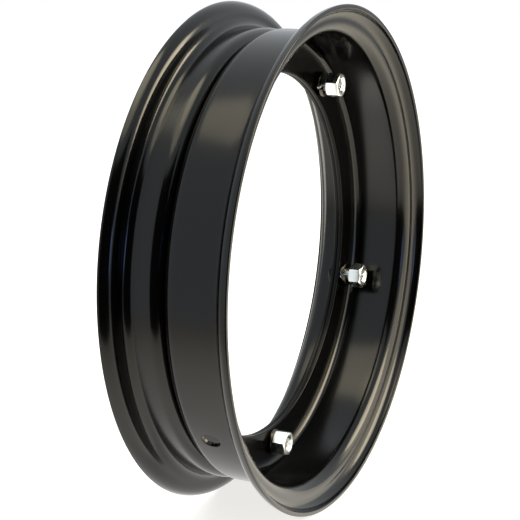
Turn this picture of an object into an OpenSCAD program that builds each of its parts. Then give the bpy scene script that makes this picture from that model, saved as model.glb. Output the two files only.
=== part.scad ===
/* [Rim size] */
// Diameter on which the tyre beads sit
seat_d = 253.2; // [240:0.1:270]
// Width of the wide half's flat bead seat
wide_seat_w = 23.3; // [20:0.1:30]
// Width of the narrow half's flat bead seat
narrow_seat_w = 8.8; // [6:0.1:16]
// Radius between a bead seat and its flange wall
heel_r = 5; // [4:0.1:6]
// Height of the straight wall between the wide half's heel and its lip
wall_h = 0.4; // [0.2:0.1:4]
// Radius of the wide half's rolled lip
wide_lip_r = 8.6; // [7.5:0.1:9.5]
// Radius of the narrow half's rolled lip
narrow_lip_r = 7.1; // [6:0.1:7.5]

/* [Pressed steel] */
// Thickness of the sheet that both halves are pressed from
sheet_t = 2.5; // [2:0.1:3]
// Outer radius of the bend between barrel and web
bend_r = 6.5; // [4.5:0.1:7.5]
// Rounding of the sheet's cut edges
edge_r = 0.6; // [0.3:0.1:0.9]
// Height of the webs, from the barrels' inner face to the opening
web_h = 21.6; // [21:0.1:26]

/* [Studs and nuts] */
// Distance of the stud centres from the barrels' inner face
stud_in = 13.1; // [12.5:0.1:14]
// Thread diameter of the studs
thread_d = 8; // [7:0.5:8]
// How far the studs stand out of the wide half's web
stud_reach = 9; // [7:0.1:10]
// Diameter of the stud heads
head_d = 13; // [12:0.5:14]
// Thickness of the stud heads
head_t = 2.6; // [2:0.1:3.5]
// Width of the nuts across their flats
nut_af = 13; // [12:0.1:13.5]
// Height of the nuts
nut_h = 8; // [6.5:0.1:8.5]
// Outer diameter of the spring washers
washer_d = 14.8; // [13.5:0.1:15.2]
// Thickness of the spring washers' wire
washer_t = 2.1; // [1.6:0.1:2.4]
// Rise of a free spring washer from one end to the other
washer_rise = 2.2; // [1.5:0.1:2.6]
// Width of the slit between a spring washer's ends
washer_slit = 1.6; // [1:0.1:2.5]
// Space over a washer whose nut is only run on by hand
nut_slack = 1.4; // [0.3:0.1:2]

/* [Valve] */
// Diameter of the valve hole in the wide half's barrel
valve_d = 10.5; // [8:0.1:12]
// Distance of the valve hole from the joint
valve_up = 15.1; // [13:0.1:18]
// Turn of the valve hole round the wheel from the top, in degrees
valve_turn = 126; // [115:1:135]

/* [Hidden] */
$fn = 96;
// Studs, nuts and washers on the circle
stud_n = 5;
// The stud that stands at the bottom of the wheel, and the bottom's angle about the axle
bottom_stud = 3;
bottom_a = -90;
// Clearance all round a stud in the wide half, and round a washer and under a nut's thread
hole_clear = 0.25;
washer_clear = 0.2;
thread_clear = 0.05;
// Clearance under each washer and under a nut that is tight on its washer
seat_clear = 0.05;
// Overrun of a cut past the face that it opens
over = 1;
// Bevels at a stud's tip, a stud head's rim and the mouth of a nut's thread
tip_bevel = 0.9;
head_bevel = 0.6;
mouth_bevel = 0.5;
// Slope of the turned ends of a nut, and their flat's share of the width across flats
nut_slope = 30;
nut_flat_share = 0.95;
// Steps round a bend, round a cut edge and round a spring washer
bend_steps = 9;
edge_steps = 3;
washer_steps = 48;
// Share of the free rise that each washer keeps: the bottom one is pressed flat by its nut
rise_shares = [1, 1, 0, 1, 1];
// Turn of each nut's corners and of each washer's slit about its stud, in degrees
nut_turns = [46, 20, 44, 12, 35];
slit_turns = [193, 166, 338, 40, 255];

seat_r = seat_d / 2;
inner_r = seat_r - sheet_t;
flange_r = seat_r + heel_r + wall_h + wide_lip_r;
opening_r = inner_r - web_h;
stud_circle_r = inner_r - stud_in;
wide_w = bend_r + wide_seat_w + heel_r + wide_lip_r;
narrow_w = bend_r + narrow_seat_w + heel_r + narrow_lip_r;
half_w = (wide_w + narrow_w) / 2;
joint_z = half_w - wide_w;
web_z = joint_z + sheet_t;
thread_r = thread_d / 2;
washer_in_r = thread_r + washer_clear;
washer_out_r = washer_d / 2;
nut_corner_r = nut_af / 2 / cos(30);
nut_flat_r = nut_flat_share * nut_af / 2;
nut_bore_r = thread_r + thread_clear;

// Points along an arc about c, from angle a to angle b
function arc(c, r, a, b, steps) =
    [for (i = [0 : steps]) c + r * [cos(a + (b - a) * i / steps), sin(a + (b - a) * i / steps)]];

// Section of one half that is w deep, as radius and height above the joint face:
// out from the web's edge on the tyre side, over the lip and back on the hub side
function half_section(w, lip_r) =
    let (
        bend_c = [seat_r - bend_r, bend_r],
        heel_c = [seat_r + heel_r, w - lip_r - heel_r],
        lip_c = [flange_r - lip_r, w],
        under_r = lip_r - sheet_t,
        top_a = asin(edge_r / lip_r),
        under_a = asin(edge_r / under_r)
    )
    concat(
        arc([opening_r + edge_r, edge_r], edge_r, 180, 270, edge_steps),
        arc(bend_c, bend_r, -90, 0, bend_steps),
        arc(heel_c, heel_r, 180, 90, bend_steps),
        arc(lip_c, lip_r, -90, -top_a, bend_steps),
        arc([lip_c[0] + lip_r * cos(top_a) - edge_r, w - edge_r], edge_r, 0, 90, edge_steps),
        arc([lip_c[0] + under_r * cos(under_a) + edge_r, w - edge_r], edge_r, 90, 180, edge_steps),
        arc(lip_c, under_r, -under_a, -90, bend_steps),
        arc(heel_c, heel_r + sheet_t, 90, 180, bend_steps),
        arc(bend_c, bend_r - sheet_t, 0, -90, bend_steps),
        arc([opening_r + edge_r, sheet_t - edge_r], edge_r, 90, 180, edge_steps)
    );

// Angle of stud i about the axle
function stud_angle(i) = bottom_a + (bottom_stud - i) * 360 / stud_n;

// Height of nut i's seat above the web, on its washer or backed off from it
function nut_lift(i) = 2 * seat_clear + washer_t + rise_shares[i - 1] * (washer_rise + nut_slack);

// The wheel's frame has its axle along Y, with the wide half in front
module wheel_frame() {
    rotate([90, 0, 0]) children();
}

// Puts its children on the centre line of stud i, at height z along the axle
module at_stud(i, z) {
    translate([stud_circle_r * cos(stud_angle(i)), stud_circle_r * sin(stud_angle(i)), z]) children();
}

// One pressed half above the joint face, with its ring of stud holes
module rim_half(w, lip_r, hole_r) {
    difference() {
        rotate_extrude() polygon(half_section(w, lip_r));
        for (i = [1 : stud_n]) at_stud(i, -over) cylinder(r = hole_r, h = sheet_t + 2 * over);
    }
}

module outer_rim_half() {
    color("#1a1a1a") wheel_frame() difference() {
        translate([0, 0, joint_z]) rim_half(wide_w, wide_lip_r, thread_r + hole_clear);
        rotate([0, 0, 90 + valve_turn]) translate([inner_r - over, 0, joint_z + valve_up])
            rotate([0, 90, 0]) cylinder(d = valve_d, h = sheet_t + 2 * over);
    }
}

module inner_rim_half() {
    color("#262626") wheel_frame() translate([0, 0, joint_z]) mirror([0, 0, 1])
        rim_half(narrow_w, narrow_lip_r, thread_r);
}

// Stud with a flat head behind the inner web, which it is pressed into
module stud(i) {
    color("#c9ccd0") wheel_frame() at_stud(i, joint_z - sheet_t) rotate_extrude() polygon([
        [0, -head_t],
        [head_d / 2 - head_bevel, -head_t],
        [head_d / 2, head_bevel - head_t],
        [head_d / 2, 0],
        [thread_r, 0],
        [thread_r, 2 * sheet_t + stud_reach - tip_bevel],
        [thread_r - tip_bevel, 2 * sheet_t + stud_reach],
        [0, 2 * sheet_t + stud_reach]
    ]);
}

// Square wire bent to one turn of a screw line, high where it leaves the slit and low at its end
module spring_washer(i) {
    rise = washer_rise * rise_shares[i - 1];
    slit_a = 2 * asin(washer_slit / 2 / washer_out_r);
    start_a = slit_turns[i - 1] + slit_a / 2;
    corners = [[washer_in_r, 0], [washer_out_r, 0], [washer_out_r, washer_t], [washer_in_r, washer_t]];
    points = [for (k = [0 : washer_steps])
        let (a = start_a + (360 - slit_a) * k / washer_steps, lift = rise * (1 - k / washer_steps))
        for (p = corners) [p[0] * cos(a), p[0] * sin(a), p[1] + lift]];
    sides = [for (k = [0 : washer_steps - 1]) for (j = [0 : 3])
        [4 * k + j, 4 * k + 4 + j, 4 * k + 4 + (j + 1) % 4, 4 * k + (j + 1) % 4]];
    last = 4 * washer_steps;
    ends = [[0, 1, 2, 3], [last + 3, last + 2, last + 1, last]];
    color("#9a9da1") wheel_frame() at_stud(i, web_z + seat_clear) polyhedron(points, concat(sides, ends));
}

// Hexagon nut with both ends turned, on the stud's thread
module nut(i) {
    turned_r = nut_corner_r + over;
    drop = (turned_r - nut_flat_r) * tan(nut_slope);
    color("#d5d8db") wheel_frame() at_stud(i, web_z + nut_lift(i)) intersection() {
        rotate([0, 0, nut_turns[i - 1]]) cylinder(r = nut_corner_r, h = nut_h, $fn = 6);
        rotate_extrude() polygon([
            [nut_bore_r + mouth_bevel, 0],
            [nut_flat_r, 0],
            [turned_r, drop],
            [turned_r, nut_h - drop],
            [nut_flat_r, nut_h],
            [nut_bore_r + mouth_bevel, nut_h],
            [nut_bore_r, nut_h - mouth_bevel],
            [nut_bore_r, mouth_bevel]
        ]);
    }
}

outer_rim_half();
inner_rim_half();
stud(1);  // stud_1
stud(2);  // stud_2
stud(3);  // stud_3
stud(4);  // stud_4
stud(5);  // stud_5
spring_washer(1);  // spring_washer_1
spring_washer(2);  // spring_washer_2
spring_washer(3);  // spring_washer_3
spring_washer(4);  // spring_washer_4
spring_washer(5);  // spring_washer_5
nut(1);  // nut_1
nut(2);  // nut_2
nut(3);  // nut_3
nut(4);  // nut_4
nut(5);  // nut_5
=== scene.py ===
import bpy
import numpy as np
from mathutils import Matrix


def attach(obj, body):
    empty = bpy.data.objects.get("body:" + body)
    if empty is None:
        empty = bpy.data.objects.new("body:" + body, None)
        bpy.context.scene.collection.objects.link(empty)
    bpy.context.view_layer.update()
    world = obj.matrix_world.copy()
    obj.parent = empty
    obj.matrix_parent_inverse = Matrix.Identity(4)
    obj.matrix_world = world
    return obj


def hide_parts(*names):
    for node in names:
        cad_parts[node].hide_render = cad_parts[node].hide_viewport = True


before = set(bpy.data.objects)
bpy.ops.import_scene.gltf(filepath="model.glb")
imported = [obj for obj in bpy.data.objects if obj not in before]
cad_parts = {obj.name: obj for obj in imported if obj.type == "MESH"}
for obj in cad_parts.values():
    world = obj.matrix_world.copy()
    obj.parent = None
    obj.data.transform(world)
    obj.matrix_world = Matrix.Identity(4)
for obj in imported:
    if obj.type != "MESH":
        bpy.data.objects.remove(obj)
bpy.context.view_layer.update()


# The two rim halves.
# Each is one pressing of 2.5 mm steel sheet: web, barrel, bead seat and rolled flange in one section.
# They meet at their webs, which the five studs hold together, and both are stoved in black enamel.
MM = 0.001
SHEET = 2.5
SEAT_R = 126.6
WIDE_SEAT_W = 23.3
NARROW_SEAT_W = 8.8
BEND_R = 6.5
HEEL_R = 5
WALL_H = 0.4
WIDE_LIP_R = 8.6
NARROW_LIP_R = 7.1
EDGE_R = 0.6
FLANGE_R = SEAT_R + HEEL_R + WALL_H + WIDE_LIP_R
OPENING_R = 102.5
WIDE_W = BEND_R + WIDE_SEAT_W + HEEL_R + WIDE_LIP_R
NARROW_W = BEND_R + NARROW_SEAT_W + HEEL_R + NARROW_LIP_R

# Heights run along the axle from the wheel's centre, toward the wide half's lip.
JOINT_Z = (NARROW_W - WIDE_W) / 2
WEB_Z = JOINT_Z + SHEET
STUD_CIRCLE_R = 111
STUD_ANGLES = (54, 342, 270, 198, 126)
THREAD_R = 4
STUD_CLEARANCE = 0.25
VALVE_ANGLE = 216
VALVE_UP = 15.1
VALVE_R = 5.25
HOLE_EDGE_R = 0.35

# The meshes round the axle have this many columns. A window of faces is left out round each hole,
# so many columns and millimetres to each side of its centre. These shares of the way fill it.
COLUMNS = 480
WINDOW_COLUMNS = 5
STUD_WINDOW = 7
VALVE_WINDOW = 7.2
FILL = (0.3, 0.6, 0.8, 0.93, 1)


def arc(centre, radius, start, end, steps):
    """Points on a circle about the centre, from the start angle to the end angle, both counted."""
    a = np.radians(np.linspace(start, end, steps + 1))
    return np.stack([centre[0] + radius * np.cos(a), centre[1] + radius * np.sin(a)], -1)


def line(start, end, shares):
    """Points from start to end at the given shares of the way, both ends left to the arcs beside them."""
    start, end = np.array(start, float), np.array(end, float)
    return start + np.outer(shares, end - start)


def half_section(depth, lip_r, valve):
    """Closed section of one half, as radius and height above the joint face, and the windows of its holes.
    It runs out on the tyre side, over the lip and back on the hub side. Straight faces get even rows
    where a hole is cut, and both faces get the same ones, so a hole's two rims have matching windows.
    A window is its first and last rows on the tyre side, and the row on the hub side that faces the first."""
    bend = (SEAT_R - BEND_R, BEND_R)
    heel = (SEAT_R + HEEL_R, depth - lip_r - HEEL_R)
    lip = (FLANGE_R - lip_r, depth)
    under_r = lip_r - SHEET
    top = np.degrees(np.arcsin(EDGE_R / lip_r))
    under_top = np.degrees(np.arcsin(EDGE_R / under_r))
    rim_out = (lip[0] + lip_r * np.cos(np.radians(top)) - EDGE_R, depth - EDGE_R)
    rim_in = (lip[0] + under_r * np.cos(np.radians(under_top)) + EDGE_R, depth - EDGE_R)
    web_edge = OPENING_R + EDGE_R
    web = np.linspace(STUD_CIRCLE_R - STUD_WINDOW, STUD_CIRCLE_R + STUD_WINDOW, 9)
    web = (web - web_edge) / (bend[0] - web_edge)
    web = np.concatenate([[web[0] / 2], web])
    if valve:
        seat = np.linspace(VALVE_UP - VALVE_WINDOW, VALVE_UP + VALVE_WINDOW, 10)
        seat = (seat - bend[1]) / (heel[1] - bend[1])
        seat = np.concatenate([seat, [(1 + seat[-1]) / 2]])
    else:
        seat = np.linspace(0, 1, 6)[1:-1]
    parts = {
        "edge out": arc((web_edge, EDGE_R), EDGE_R, 180, 270, 5),
        "web out": line((web_edge, 0), (bend[0], 0), web),
        "bend out": arc(bend, BEND_R, -90, 0, 14),
        "seat out": line((SEAT_R, bend[1]), (SEAT_R, heel[1]), seat),
        "heel out": arc(heel, HEEL_R, 180, 90, 12),
        "lip out": arc(lip, lip_r, -90, -top, 18),
        "rim out": arc(rim_out, EDGE_R, 0, 90, 5),
        "rim in": arc(rim_in, EDGE_R, 90, 180, 5),
        "lip in": arc(lip, under_r, -under_top, -90, 14),
        "heel in": arc(heel, HEEL_R + SHEET, 90, 180, 16),
        "seat in": line((SEAT_R - SHEET, heel[1]), (SEAT_R - SHEET, bend[1]), 1 - seat[::-1]),
        "bend in": arc(bend, BEND_R - SHEET, 0, -90, 9),
        "web in": line((bend[0], SHEET), (web_edge, SHEET), 1 - web[::-1]),
        "edge in": arc((web_edge, SHEET - EDGE_R), EDGE_R, 90, 180, 5),
    }
    starts = dict(zip(parts, np.cumsum([0] + [len(part) for part in parts.values()])))
    web_end, seat_end = starts["web out"] + len(web), starts["seat out"] + len(seat)
    web_window = (starts["web out"] + 1, web_end - 1, starts["web in"] + len(web) - 2)
    seat_window = (starts["seat out"], seat_end - 2, starts["seat in"] + len(seat) - 1)
    return np.concatenate(list(parts.values())), web_window, seat_window


def pierced_ring(section, holes):
    """Points and faces of the section turned round the axle, with round holes through the sheet.
    Point (i, j) is section point i turned to column j. A hole leaves out a window of faces on both sides of
    the sheet. Rings fill each window from its border to the hole's rim, and go round the rim and through.
    A ring is x along the wheel's turn, y outward on a web or up on a barrel, and the level of its face."""
    turn = np.arange(COLUMNS) * 2 * np.pi / COLUMNS
    radius, height = section[:, :1], section[:, 1:]
    points = np.stack([radius * np.cos(turn), radius * np.sin(turn), height + 0 * turn], -1)
    points = points.reshape(-1, 3)
    index = np.arange(len(points)).reshape(-1, COLUMNS)
    kept = np.ones(index.shape, bool)
    added, faces = [], []
    used = len(points)
    for angle, (first, last, back), hole_r, through_web in holes:
        rows, columns = last - first, 2 * WINDOW_COLUMNS
        path = [(0, j) for j in range(columns)] + [(i, columns) for i in range(rows)]
        path += [(rows, j) for j in range(columns, 0, -1)] + [(i, 0) for i in range(rows, 0, -1)]
        i, j = np.array(path).T
        start = round(angle * COLUMNS / 360) - WINDOW_COLUMNS
        borders = [index[first + i, (start + j) % COLUMNS], index[back - i, (start + j) % COLUMNS]]
        for low in (first, back - rows):
            kept[low : low + rows, (start + np.arange(columns)) % COLUMNS] = False

        a = np.radians(angle)
        out, along, up = np.array([[np.cos(a), np.sin(a), 0], [-np.sin(a), np.cos(a), 0], [0, 0, 1]])
        sides = []
        for p in (points[border] for border in borders):
            if through_web:
                sides.append((np.stack([p @ along, p @ out - STUD_CIRCLE_R]), p[0, 2]))
            else:
                sides.append((np.stack([p @ along, p @ up - VALVE_UP]), np.hypot(p[0, 0], p[0, 1])))
        (border_a, level_a), (border_b, level_b) = sides
        inward = np.sign(level_b - level_a) * HOLE_EDGE_R
        round_hole = np.arctan2(border_a[1], border_a[0])
        circle = np.stack([np.cos(round_hole), np.sin(round_hole)])
        rim = (hole_r + HOLE_EDGE_R) * circle
        rings = [(border_a * (1 - share) + rim * share, level_a) for share in FILL]
        for b in np.radians((30, 60, 90)):
            r = hole_r + HOLE_EDGE_R * (1 - np.sin(b))
            rings.append((r * circle, level_a + inward * (1 - np.cos(b))))
        for b in np.radians((90, 60, 30, 0)):
            r = hole_r + HOLE_EDGE_R * (1 - np.sin(b))
            rings.append((r * circle, level_b - inward * (1 - np.cos(b))))
        rings += [(border_b * (1 - share) + rim * share, level_b) for share in FILL[-2::-1]]

        loops = [borders[0]]
        for (x, y), level in rings:
            if through_web:
                outward, rise = y + STUD_CIRCLE_R, level + 0 * x
            else:
                outward, rise = np.sqrt(level**2 - x**2), y + VALVE_UP
            added.append(np.outer(outward, out) + np.outer(x, along) + np.outer(rise, up))
            loops.append(used + np.arange(len(x)))
            used += len(x)
        loops.append(borders[1])
        for one, two in zip(loops, loops[1:]):
            faces.append(np.stack([one, np.roll(one, -1), np.roll(two, -1), two], -1))
    below, beside = np.roll(index, -1, 0), np.roll(index, -1, 1)
    quads = np.stack([index, beside, np.roll(below, -1, 1), below], -1)
    return np.concatenate([points] + added), np.concatenate([quads[kept]] + faces)


def put(name, points, faces, material, node):
    """Makes a smooth mesh from points in the wheel's own frame, in millimetres, with its axle along Z.
    It turns them so that the axle lies along Y, and turns all faces outward, which a positive volume shows.
    Edges that bend by more than 38 degrees stay sharp. The piece takes the place of a solid of the part."""
    points = np.stack([points[:, 0], -points[:, 2], points[:, 1]], -1) * MM
    a, b, c, d = (points[faces[:, k]] for k in range(4))
    volume = np.sum(a * np.cross(b, c)) + np.sum(a * np.cross(c, d))
    if volume < 0:
        faces = faces[:, ::-1]
    mesh = bpy.data.meshes.new(name)
    mesh.from_pydata(points.tolist(), [], [list(dict.fromkeys(face)) for face in faces.tolist()])
    mesh.polygons.foreach_set("use_smooth", np.ones(len(mesh.polygons), bool))
    mesh.set_sharp_from_angle(angle=np.radians(38))
    mesh.materials.append(material)
    piece = bpy.data.objects.new(name, mesh)
    bpy.context.scene.collection.objects.link(piece)
    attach(piece, "root")
    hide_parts(node)
    return piece


def linear(text):
    """A hex colour as it looks on a screen, turned to the linear values that the shaders take."""
    c = np.array([int(text[k : k + 2], 16) for k in (1, 3, 5)]) / 255
    return (*np.where(c <= 0.04045, c / 12.92, ((c + 0.055) / 1.055) ** 2.4), 1)


def add(tree, kind, inputs=None, **settings):
    """Adds a node. The settings are its own values. Each input is a value, or the socket that feeds it."""
    node = tree.nodes.new(kind)
    for key, value in settings.items():
        setattr(node, key, value)
    for key, value in (inputs or {}).items():
        if isinstance(value, bpy.types.NodeSocket):
            tree.links.new(value, node.inputs[key])
        else:
            node.inputs[key].default_value = value
    return node


def new_material(name):
    """An empty material and its tree."""
    material = bpy.data.materials.new(name)
    material.use_nodes = True
    material.node_tree.nodes.clear()
    return material, material.node_tree


# Stoved black enamel: a thin even coat with a faint orange peel and faint marks along the rolled sheet.
# The dimples are about 1.4 mm apart, and the marks about 3 mm across and six times as long round the wheel.
# The webs, which lie nearer to the axle than 120 mm, are duller than the barrels.
WEB_REACH = (118.5 * MM, 121.5 * MM)
MARK_STRETCH = 20 * MM
enamel, tree = new_material("stoved black enamel")
place = add(tree, "ShaderNodeTexCoord").outputs["Object"]
flat = add(tree, "ShaderNodeVectorMath", {0: place, 1: (1, 0, 1)}, operation="MULTIPLY").outputs[0]
spoke = add(tree, "ShaderNodeVectorMath", {0: flat}, operation="NORMALIZE").outputs[0]
spoke = add(tree, "ShaderNodeVectorMath", {0: spoke, "Scale": MARK_STRETCH}, operation="SCALE").outputs[0]
reach = add(tree, "ShaderNodeVectorMath", {0: flat}, operation="LENGTH").outputs["Value"]
depth = add(tree, "ShaderNodeSeparateXYZ", {0: place}).outputs["Y"]
across = add(tree, "ShaderNodeMath", {0: reach, 1: depth}, operation="ADD").outputs[0]
across = add(tree, "ShaderNodeCombineXYZ", {"Y": across}).outputs[0]
rolled = add(tree, "ShaderNodeVectorMath", {0: spoke, 1: across}, operation="ADD").outputs[0]
peel = add(tree, "ShaderNodeTexNoise", {"Vector": place, "Scale": 0.7 / MM, "Detail": 2, "Roughness": 0.4})
marks = add(tree, "ShaderNodeTexNoise", {"Vector": rolled, "Scale": 0.35 / MM, "Detail": 4, "Roughness": 0.5})
cloud = add(tree, "ShaderNodeTexNoise", {"Vector": place, "Scale": 0.03 / MM, "Detail": 4, "Roughness": 0.6})
shade = add(tree, "ShaderNodeValToRGB", {"Fac": cloud.outputs["Fac"]})
shade.color_ramp.elements[0].color = linear("#020202")
shade.color_ramp.elements[1].color = linear("#040404")
dull = add(tree, "ShaderNodeMapRange", {"Value": cloud.outputs["Fac"], "To Min": 0.14, "To Max": 0.19})
bumps = add(tree, "ShaderNodeBump", {"Height": marks.outputs["Fac"], "Strength": 0.12, "Distance": 0.05 * MM})
bumps = add(tree, "ShaderNodeBump", {
    "Height": peel.outputs["Fac"], "Strength": 0.12, "Distance": 0.05 * MM, "Normal": bumps.outputs[0],
})
gloss = add(tree, "ShaderNodeBsdfPrincipled", {
    "Base Color": shade.outputs["Color"], "IOR": 1.38,
    "Roughness": dull.outputs[0], "Normal": bumps.outputs[0],
})
web = add(tree, "ShaderNodeMapRange", {
    "Value": reach, "From Min": WEB_REACH[0], "From Max": WEB_REACH[1], "To Min": 0.55, "To Max": 0,
})
haze = add(tree, "ShaderNodeBsdfDiffuse", {"Color": shade.outputs["Color"]})
coat = add(tree, "ShaderNodeMixShader", {0: web.outputs[0], 1: gloss.outputs[0], 2: haze.outputs[0]})
add(tree, "ShaderNodeOutputMaterial", {"Surface": coat.outputs[0]})

section, web_window, seat_window = half_section(WIDE_W, WIDE_LIP_R, True)
holes = [(angle, web_window, THREAD_R + STUD_CLEARANCE, True) for angle in STUD_ANGLES]
points, faces = pierced_ring(section, holes + [(VALVE_ANGLE, seat_window, VALVE_R, False)])
outer_half = put("outer_half", points + (0, 0, JOINT_Z), faces, enamel, "outer_rim_half")

section, web_window, _ = half_section(NARROW_W, NARROW_LIP_R, False)
holes = [(angle, web_window, THREAD_R, True) for angle in STUD_ANGLES]
points, faces = pierced_ring(section, holes)
inner_half = put("inner_half", points * (1, 1, -1) + (0, 0, JOINT_Z), faces, enamel, "inner_rim_half")


# The five studs.
# Each is an M8 stud with a flat head, pressed into the inner half from behind before that half was stoved.
# So the head is enamelled, and the zinc-plated thread that stands out of the wide half is bright.
PITCH = 1.25
THREAD_DEPTH = 0.613 * PITCH
THREAD_STEP = PITCH / 10
STUD_REACH = 9
STUD_TOP = WEB_Z + STUD_REACH
TIP_BEVEL = 0.9
HEAD_TOP = JOINT_Z - SHEET
HEAD_R = 6.5
HEAD_T = 2.6
HEAD_EDGE_R = 0.6
BROKEN_EDGE = 0.05
STUD_COLUMNS = 64


def thread_r(turn, height, gap=0):
    """Radius of an M8 thread at a turn in radians and a height: flat crests an eighth of the pitch wide,
    flat roots a quarter of it, and straight flanks between. The height of a crest rises with the turn."""
    u = np.mod(height / PITCH - turn / (2 * np.pi), 1)
    ridge = np.abs(2 * u - 1)
    return THREAD_R + gap - THREAD_DEPTH * np.clip((1 - ridge - 0.125) / 0.625, 0, 1)


def skin(rings, closed):
    """Points and faces of a grid whose columns close round. Its rows close on themselves too,
    or end at a point in the middle of the first and last rings."""
    rows, columns = rings.shape[:2]
    index = np.arange(rows * columns).reshape(rows, columns)
    points = rings.reshape(-1, 3)
    if closed:
        below = np.roll(index, -1, 0)
        faces = np.stack([index, np.roll(index, -1, 1), np.roll(below, -1, 1), below], -1)
        return points, faces.reshape(-1, 4)
    a, b = index[:-1], index[1:]
    faces = [np.stack([a, np.roll(a, -1, 1), np.roll(b, -1, 1), b], -1).reshape(-1, 4)]
    points = np.concatenate([points, [rings[0].mean(0)], [rings[-1].mean(0)]])
    start, end = np.full(columns, rows * columns), np.full(columns, rows * columns + 1)
    faces.append(np.stack([start, start, np.roll(index[0], -1), index[0]], -1))
    faces.append(np.stack([index[-1], np.roll(index[-1], -1), end, end], -1))
    return points, np.concatenate(faces)


def round_axis(rings, turn):
    """Grid of rings about an axis. A ring is its radius and height, each one number or one for each turn."""
    return np.array([np.stack([r * np.cos(turn), r * np.sin(turn), z + 0 * turn], -1) for r, z in rings])


def on_circle(points, angle):
    """Points moved from the axle to the stud's place at an angle in degrees."""
    a = np.radians(angle)
    return points + (STUD_CIRCLE_R * np.cos(a), STUD_CIRCLE_R * np.sin(a), 0)


# Bright zinc plate: a nearly white metal with a soft sheen and a fine grain, about 4 grains to a millimetre.
zinc, tree = new_material("bright zinc plate")
place = add(tree, "ShaderNodeTexCoord").outputs["Object"]
cloud = add(tree, "ShaderNodeTexNoise", {"Vector": place, "Scale": 0.5 / MM, "Detail": 4, "Roughness": 0.6})
grain = add(tree, "ShaderNodeTexNoise", {"Vector": place, "Scale": 4 / MM, "Detail": 2})
shade = add(tree, "ShaderNodeValToRGB", {"Fac": cloud.outputs["Fac"]})
shade.color_ramp.elements[0].color = linear("#e4e9e9")
shade.color_ramp.elements[1].color = linear("#f4f7f6")
dull = add(tree, "ShaderNodeMapRange", {"Value": cloud.outputs["Fac"], "To Min": 0.2, "To Max": 0.32})
bumps = add(tree, "ShaderNodeBump", {"Height": grain.outputs["Fac"], "Strength": 0.1, "Distance": 0.02 * MM})
plate = add(tree, "ShaderNodeBsdfPrincipled", {
    "Base Color": shade.outputs["Color"], "Metallic": 1,
    "Roughness": dull.outputs[0], "Normal": bumps.outputs[0],
})
add(tree, "ShaderNodeOutputMaterial", {"Surface": plate.outputs[0]})

# Rings from the middle of the head's back, round its rim, along the thread and over the bevelled tip.
turn = np.arange(STUD_COLUMNS) * 2 * np.pi / STUD_COLUMNS
head_bottom = HEAD_TOP - HEAD_T
rings = [(0.3, head_bottom), (3, head_bottom)]
rings += [*arc((HEAD_R - HEAD_EDGE_R, head_bottom + HEAD_EDGE_R), HEAD_EDGE_R, -90, 0, 5)]
rings += [(HEAD_R, HEAD_TOP - BROKEN_EDGE), (HEAD_R - BROKEN_EDGE, HEAD_TOP)]
rings += [(THREAD_R + 2 * BROKEN_EDGE, HEAD_TOP), (THREAD_R, HEAD_TOP + 2 * BROKEN_EDGE)]
rings += [(THREAD_R, JOINT_Z), (THREAD_R, WEB_Z - 0.4)]
rings += [(thread_r(turn, z), z) for z in np.arange(WEB_Z + 0.2, STUD_TOP - TIP_BEVEL, THREAD_STEP)]
for below_top in (0.9, 0.75, 0.6, 0.45, 0.3, 0.15):
    z = STUD_TOP - below_top
    rings.append((np.minimum(thread_r(turn, z), THREAD_R - TIP_BEVEL + below_top), z))
rings += [(3.05, STUD_TOP - 0.03), (2.9, STUD_TOP), (1.2, STUD_TOP)]
points, faces = skin(round_axis(rings, turn), False)
for k, angle in enumerate(STUD_ANGLES, 1):
    stud = put(f"threaded_stud_{k}", on_circle(points, angle), faces, zinc, f"stud_{k}")
    stud.data.materials.append(enamel)
    centres = np.empty(3 * len(stud.data.polygons))
    stud.data.polygons.foreach_get("center", centres)
    behind = centres[1::3] > (BROKEN_EDGE - HEAD_TOP) * MM
    stud.data.polygons.foreach_set("material_index", behind.astype(int))


# The five spring washers.
# Each is one turn of square steel wire, cut through. Four have sprung open under loose nuts.
# The bottom one is pressed flat by its nut.
RISES = (2.2, 2.2, 0, 2.2, 2.2)
SLIT_TURNS = (193, 166, 338, 40, 255)
SLIT_W = 1.6
WASHER_T = 2.1
WASHER_IN_R = 4.2
WASHER_OUT_R = 7.4
WIRE_EDGE_R = 0.3
WIRE_STEPS = 144
SEAT_GAP = 0.05

# Spring steel with a thin dark plate: a brownish grey metal, much darker than the nuts.
spring, tree = new_material("plated spring steel")
place = add(tree, "ShaderNodeTexCoord").outputs["Object"]
cloud = add(tree, "ShaderNodeTexNoise", {"Vector": place, "Scale": 0.6 / MM, "Detail": 4, "Roughness": 0.6})
shade = add(tree, "ShaderNodeValToRGB", {"Fac": cloud.outputs["Fac"]})
shade.color_ramp.elements[0].color = linear("#3d3833")
shade.color_ramp.elements[1].color = linear("#5c564e")
dull = add(tree, "ShaderNodeMapRange", {"Value": cloud.outputs["Fac"], "To Min": 0.2, "To Max": 0.3})
steel = add(tree, "ShaderNodeBsdfPrincipled", {
    "Base Color": shade.outputs["Color"], "Metallic": 1, "Roughness": dull.outputs[0],
})
add(tree, "ShaderNodeOutputMaterial", {"Surface": steel.outputs[0]})

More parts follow.
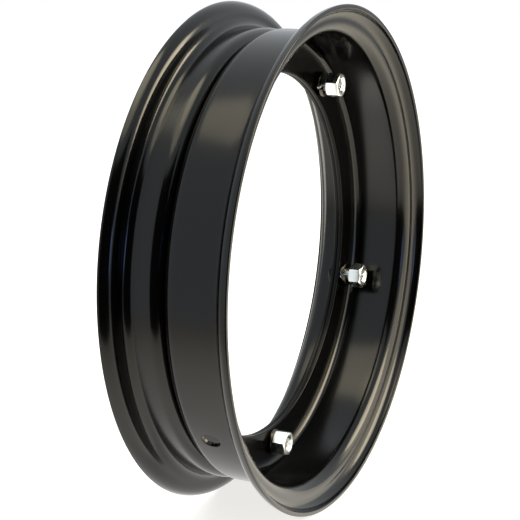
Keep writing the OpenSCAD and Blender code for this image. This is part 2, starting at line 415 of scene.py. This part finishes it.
out_r, in_r = WASHER_OUT_R - WIRE_EDGE_R, WASHER_IN_R + WIRE_EDGE_R
low, high = WIRE_EDGE_R, WASHER_T - WIRE_EDGE_R
wire = np.concatenate([
    arc((out_r, low), WIRE_EDGE_R, -90, 0, 4), arc((out_r, high), WIRE_EDGE_R, 0, 90, 4),
    arc((in_r, high), WIRE_EDGE_R, 90, 180, 4), arc((in_r, low), WIRE_EDGE_R, 180, 270, 4),
])
half_slit = np.degrees(np.arcsin(SLIT_W / 2 / WASHER_OUT_R))
way = np.linspace(0, 1, WIRE_STEPS + 1)
for k, (angle, rise, slit_turn) in enumerate(zip(STUD_ANGLES, RISES, SLIT_TURNS), 1):
    turn = np.radians(slit_turn + half_slit + way * (360 - 2 * half_slit))
    lift = rise * (1 - way)[:, None] + WEB_Z + SEAT_GAP
    radius = wire[:, 0]
    coil = np.stack([np.outer(np.cos(turn), radius), np.outer(np.sin(turn), radius), wire[:, 1] + lift], -1)
    points, faces = skin(coil, False)
    washer = put(f"split_washer_{k}", on_circle(points, angle), faces, spring, f"spring_washer_{k}")


# The five nuts.
# Each is a 13 mm hexagon nut with both ends turned to a 30 degree cone, on the stud's thread.
# The bottom one is tight on its washer, and the others are only run on by hand.
NUT_H = 8
NUT_SIDE_R = 6.5
NUT_CORNER_R = 0.35
NUT_FACE_R = 0.95 * NUT_SIDE_R
NUT_SLOPE = np.tan(np.radians(30))
NUT_SLACK = 1.4
NUT_TURNS = (46, 20, 44, 12, 35)
THREAD_GAP = 0.05
MOUTH_R = 4.65
MOUTH_SLOPE = 1.2


def hexagon_r(turn):
    """Radius of a 13 mm hexagon with its corners rounded by 0.35 mm, at an angle from a corner in radians.
    It is the smaller of the flat's distance and, within a corner's own arc, that arc's distance."""
    off = np.mod(turn + np.pi / 6, np.pi / 3) - np.pi / 6
    flat = NUT_SIDE_R / np.cos(np.pi / 6 - np.abs(off))
    centre = (NUT_SIDE_R - NUT_CORNER_R) / np.cos(np.pi / 6)
    lean = centre * np.sin(np.abs(off)) / NUT_CORNER_R
    on_arc = (lean < 1) & (np.abs(off) + np.arcsin(np.minimum(lean, 1)) <= np.pi / 6)
    return np.where(on_arc, centre * np.cos(off) + NUT_CORNER_R * np.sqrt(np.maximum(1 - lean**2, 0)), flat)


def nut_end(side):
    """Rings of one turned end as radius and depth below its face, from the thread's mouth to the side.
    The cone falls from the face's circle at the nut's slope, and its two edges are broken by about 0.1 mm."""
    drop = (side - NUT_FACE_R) * NUT_SLOPE
    return [
        (4.75, 0), (5.6, 0), (NUT_FACE_R - 0.08, 0),
        (NUT_FACE_R + 0.08, 0.08 * NUT_SLOPE),
        (side - 0.12, drop - 0.12 * NUT_SLOPE), (side - 0.03, drop + 0.02), (side, drop + 0.14),
    ]


# Columns in degrees from a corner, close together on the corner's own arc.
near_corner = (-3, -2.2, -1.6, -1.1, -0.55, 0, 0.55, 1.1, 1.6, 2.2)
before, after = np.linspace(-30, -3, 14, endpoint=False), np.linspace(3, 30, 14, endpoint=False)
sector = np.concatenate([before, near_corner, after])
turn = np.radians(np.concatenate([60 * k + sector for k in range(6)]))
side = hexagon_r(turn)
for k, (angle, nut_turn, rise) in enumerate(zip(STUD_ANGLES, NUT_TURNS, RISES), 1):
    lift = 2 * SEAT_GAP + WASHER_T + (rise + NUT_SLACK if rise else 0)
    seat_z = WEB_Z + lift
    world_turn = turn + np.radians(nut_turn)
    rings = [(r, seat_z + z) for r, z in nut_end(side)]
    rings.append((side, seat_z + NUT_H / 2))
    rings += [(r, seat_z + NUT_H - z) for r, z in nut_end(side)[::-1]]
    for z in np.arange(NUT_H - 0.06, 0.05, -THREAD_STEP):
        mouth = MOUTH_R - np.minimum(z, NUT_H - z) * MOUTH_SLOPE
        rings.append((np.maximum(thread_r(world_turn, z + seat_z, THREAD_GAP), mouth), z + seat_z))
    points, faces = skin(round_axis(rings, world_turn), True)
    nut = put(f"hexagon_nut_{k}", on_circle(points, angle), faces, zinc, f"nut_{k}")


# The studio.
# The wheel stands near the front edge of a pale table, in a white room. Two oval lamps hang over it,
# two stand on its far side, a small one stands low behind it, and one lights the table. The room behind
# the camera is dark, which three black screens stand for, with one narrow bluish window among them.
TABLE_Z = -FLANGE_R * MM
TABLE_TURN = -114
TABLE_FRONT = 0.33
TABLE_REACH = 4
SCREEN_R = 1.6
SCREEN_EDGES = (-160, -133, -106, -78)
SCREEN_HEIGHTS = (-1.6, 1.55)


def panel(name, corners, material):
    """A flat four-cornered sheet that belongs to the studio."""
    mesh = bpy.data.meshes.new(name)
    mesh.from_pydata(corners, [], [(0, 1, 2, 3)])
    mesh.materials.append(material)
    sheet = bpy.data.objects.new(name, mesh)
    bpy.context.scene.collection.objects.link(sheet)
    return sheet


# White paper in the room's light. The camera sees it as white. A painted pool of light glows in it for
# mirrored rays only, so the wheel mirrors it, brightest within 0.1 m of a place near the wheel's foot and
# faint from 0.37 m away.
PAINTED_POOL_CENTRE = (-0.05, 0.08, TABLE_Z)
paper, tree = new_material("white paper with painted light pool")
place = add(tree, "ShaderNodeTexCoord").outputs["Object"]
cloud = add(tree, "ShaderNodeTexNoise", {"Vector": place, "Scale": 3, "Detail": 2})
shade = add(tree, "ShaderNodeValToRGB", {"Fac": cloud.outputs["Fac"]})
shade.color_ramp.elements[0].color = linear("#b4b4b4")
shade.color_ramp.elements[1].color = linear("#bcbcbc")
sheet = add(tree, "ShaderNodeBsdfPrincipled", {"Base Color": shade.outputs["Color"], "Roughness": 0.9})
path = add(tree, "ShaderNodeLightPath")
away = add(tree, "ShaderNodeVectorMath", {0: place, 1: PAINTED_POOL_CENTRE}, operation="DISTANCE").outputs["Value"]
painted_pool = add(tree, "ShaderNodeMapRange", {
    "Value": away, "From Min": 0.1, "From Max": 0.37, "To Min": 1.05, "To Max": 0.15,
}, interpolation_type="SMOOTHSTEP")
# Painted pool of light: an emission that only mirrored rays see. The camera sees only the paper's even white.
painted_pool_mirrored = add(tree, "ShaderNodeMath", {
    0: path.outputs["Is Glossy Ray"], 1: painted_pool.outputs[0],
}, operation="MULTIPLY")
seen = add(tree, "ShaderNodeMath", {0: path.outputs["Is Camera Ray"], 1: 0.8}, operation="MULTIPLY")
backdrop_white_and_painted_pool = add(tree, "ShaderNodeMath", {0: seen.outputs[0], 1: painted_pool_mirrored.outputs[0]}, operation="MAXIMUM")
backdrop_white_and_painted_pool = add(tree, "ShaderNodeEmission", {"Color": (1, 0.98, 0.95, 1), "Strength": backdrop_white_and_painted_pool.outputs[0]})
both = add(tree, "ShaderNodeAddShader", {0: sheet.outputs[0], 1: backdrop_white_and_painted_pool.outputs[0]})
add(tree, "ShaderNodeOutputMaterial", {"Surface": both.outputs[0]})

# Black cloth: dull and nearly black all over.
cloth, tree = new_material("black cloth")
place = add(tree, "ShaderNodeTexCoord").outputs["Object"]
cloud = add(tree, "ShaderNodeTexNoise", {"Vector": place, "Scale": 8, "Detail": 2})
shade = add(tree, "ShaderNodeValToRGB", {"Fac": cloud.outputs["Fac"]})
shade.color_ramp.elements[0].color = linear("#0a0a0c")
shade.color_ramp.elements[1].color = linear("#101012")
weave = add(tree, "ShaderNodeBsdfPrincipled", {"Base Color": shade.outputs["Color"], "Roughness": 1})
add(tree, "ShaderNodeOutputMaterial", {"Surface": weave.outputs[0]})

# Seen from above, a turn of 0 degrees points along +Y and 90 degrees along +X.
front = np.radians(TABLE_TURN)
toward, aside = np.array((np.sin(front), np.cos(front))), np.array((np.cos(front), -np.sin(front)))
corners = [(-TABLE_REACH, TABLE_FRONT), (TABLE_REACH, TABLE_FRONT)]
corners += [(TABLE_REACH, -TABLE_REACH), (-TABLE_REACH, -TABLE_REACH)]
panel("table", [(*(toward * y + aside * x), TABLE_Z) for x, y in corners], paper)

bottom, top = SCREEN_HEIGHTS
for k, edges in enumerate(zip(SCREEN_EDGES, SCREEN_EDGES[1:]), 1):
    one, two = ((SCREEN_R * np.sin(t), SCREEN_R * np.cos(t)) for t in np.radians(edges))
    screen = panel(f"black_screen_{k}", [(*one, bottom), (*two, bottom), (*two, top), (*one, top)], cloth)
    screen.visible_camera = False


def soft_box(name, turn, height, distance, width, depth, radiance, colour):
    """An oval area light that faces the wheel from a turn and a height in degrees, with an even radiance.
    Its power in watts is the radiance times pi times the oval's area."""
    t, e = np.radians(turn), np.radians(height)
    away = np.array((np.sin(t) * np.cos(e), np.cos(t) * np.cos(e), np.sin(e)))
    data = bpy.data.lights.new(name, "AREA")
    data.shape = "ELLIPSE"
    data.size, data.size_y = width, depth
    data.energy = radiance * np.pi * width * depth * np.pi / 4
    data.color = colour
    side = np.array((np.cos(t), -np.sin(t), 0))
    top = np.cross(away, side)
    lamp = bpy.data.objects.new(name, data)
    rows = [[side[k], top[k], away[k], away[k] * distance] for k in range(3)]
    lamp.matrix_world = Matrix(rows + [[0, 0, 0, 1]])
    bpy.context.scene.collection.objects.link(lamp)
    return lamp


soft_box("overhead_box", -71, 76, 1.54, 1.35, 1.25, 2.5, (1, 0.9, 0.63))
soft_box("overhead_lamp", -63, 81.5, 1.45, 0.8, 0.75, 2.3, (1, 0.9, 0.63))
soft_box("side_box", 157, 10, 2, 2.1, 1.5, 3.1, (1, 0.88, 0.66))
soft_box("side_lamp", 154, 27, 1.2, 0.9, 0.62, 11.7, (1, 0.88, 0.64))
soft_box("blue_window", -157, 2, 1.5, 0.13, 0.4, 8, (0.3, 0.5, 1))
back_lamp = soft_box("back_lamp", 23, -20, 0.19, 0.11, 0.09, 6.5, (1, 0.97, 0.9))
back_lamp.visible_camera = False
table_lamp = soft_box("table_lamp", 0, 90, 0.31, 0.42, 0.42, 25.5, (1, 0.9, 0.7))
table_lamp.location = (0.27, -0.56, 0.31)
table_lamp.visible_glossy = False

# The room is plain white to the camera, and lights and mirrors in the wheel as slightly bluish daylight.
world = bpy.data.worlds.new("white room")
bpy.context.scene.world = world
world.use_nodes = True
tree = world.node_tree
tree.nodes.clear()
path = add(tree, "ShaderNodeLightPath")
tint = add(tree, "ShaderNodeMix", {
    "Factor": path.outputs["Is Camera Ray"], 6: (0.92, 0.965, 1, 1), 7: (1, 1, 1, 1),
}, data_type="RGBA")
light = add(tree, "ShaderNodeBackground", {"Color": tint.outputs[2], "Strength": 1})
add(tree, "ShaderNodeOutputWorld", {"Surface": light.outputs[0]})

# The camera stands 0.82 m from the wheel's centre, looks along a turn of 64.6 degrees and is tilted down
# by 13.3. Its place and the directions of its right, its top and its back were fitted to the photograph.
camera_data = bpy.data.cameras.new("camera")
camera_data.lens = 100.45
camera_data.sensor_width = 36
camera_data.clip_start = 0.01
camera = bpy.data.objects.new("camera", camera_data)
bpy.context.scene.collection.objects.link(camera)
right, up, back = (0.4289, -0.9034, 0), (0.2079, 0.0987, 0.9732), (-0.8791, -0.4174, 0.2301)
spot = (-0.7229, -0.32945, 0.1856)
rows = [[right[k], up[k], back[k], spot[k]] for k in range(3)]
camera.matrix_world = Matrix(rows + [[0, 0, 0, 1]])
bpy.context.scene.camera = camera
bpy.context.scene.view_settings.view_transform = "Standard"
